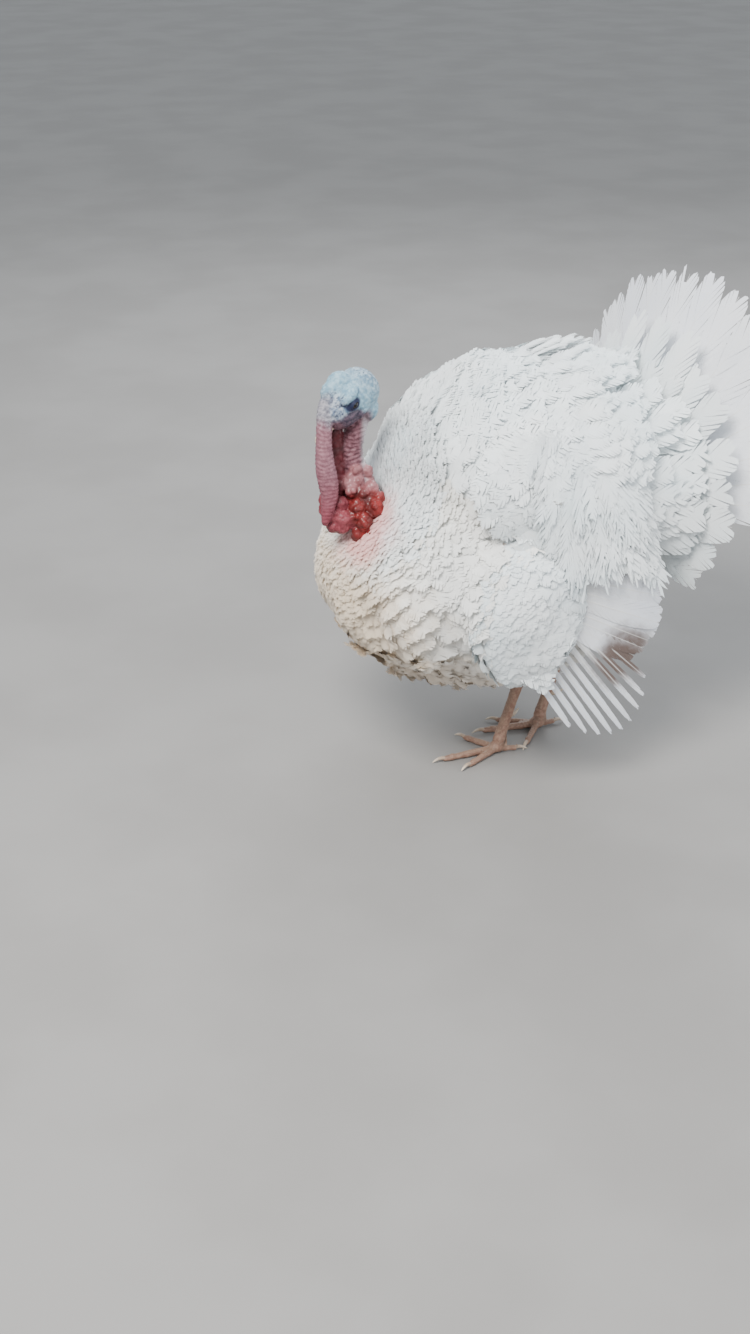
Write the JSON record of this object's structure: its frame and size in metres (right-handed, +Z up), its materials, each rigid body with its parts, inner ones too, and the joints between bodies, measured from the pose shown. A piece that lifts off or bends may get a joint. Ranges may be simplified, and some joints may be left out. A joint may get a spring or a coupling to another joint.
{
  "type": "domestic turkey tom in strut",
  "caption": "Life-size standing white domestic turkey tom in full strut, tail fanned, wings drooped, head drawn back with long snood and red wattles.",
  "frame": {"origin": "on the floor under the middle of the bird's box", "axes": "+Z up; the bird faces -X and its left side is -Y"},
  "size_m": [0.6868, 0.6634, 0.7394],
  "materials": {
    "body_feather": "soft white contour feathers, matt",
    "breast_feather": "cream-white breast feathers, matt",
    "quill_feather": "smooth white wing and tail feathers, slight sheen",
    "head_skin": "bare pale blue wrinkled skin, half matt",
    "neck_skin": "bare mauve-pink wrinkled skin",
    "wattle_skin": "bare bright red lumpy skin, slightly moist",
    "snood_skin": "bare pink-mauve wrinkled skin",
    "bill_horn": "pale horn",
    "claw_horn": "horn, worn at the tips",
    "leg_scale": "dry pinkish scaled skin",
    "eye": "wet dark eye"
  },
  "bodies": {
    "root": {"back": "body_feather", "bill_lower": "bill_horn", "bill_upper": "bill_horn", "caruncles": "wattle_skin", "claw_hind_left": "claw_horn", "claw_hind_right": "claw_horn", "claw_inner_left": "claw_horn", "claw_inner_right": "claw_horn", "claw_middle_left": "claw_horn", "claw_middle_right": "claw_horn", "claw_outer_left": "claw_horn", "claw_outer_right": "claw_horn", "dewlap": "wattle_skin", "eye_left": "eye", "eye_right": "eye", "foot_left": "leg_scale", "foot_right": "leg_scale", "head": "head_skin", "neck": "neck_skin", "primaries_left": "quill_feather", "primaries_right": "quill_feather", "secondaries_left": "quill_feather", "secondaries_right": "quill_feather", "shank_left": "leg_scale", "shank_right": "leg_scale", "snood": "snood_skin", "spur_left": "claw_horn", "spur_right": "claw_horn", "tail_coverts": "body_feather", "tail_fan": "quill_feather", "thigh_left": "body_feather", "thigh_right": "body_feather", "trunk": "breast_feather", "undertail": "body_feather", "wing_left": "body_feather", "wing_right": "body_feather"}
  },
  "joints": []
}
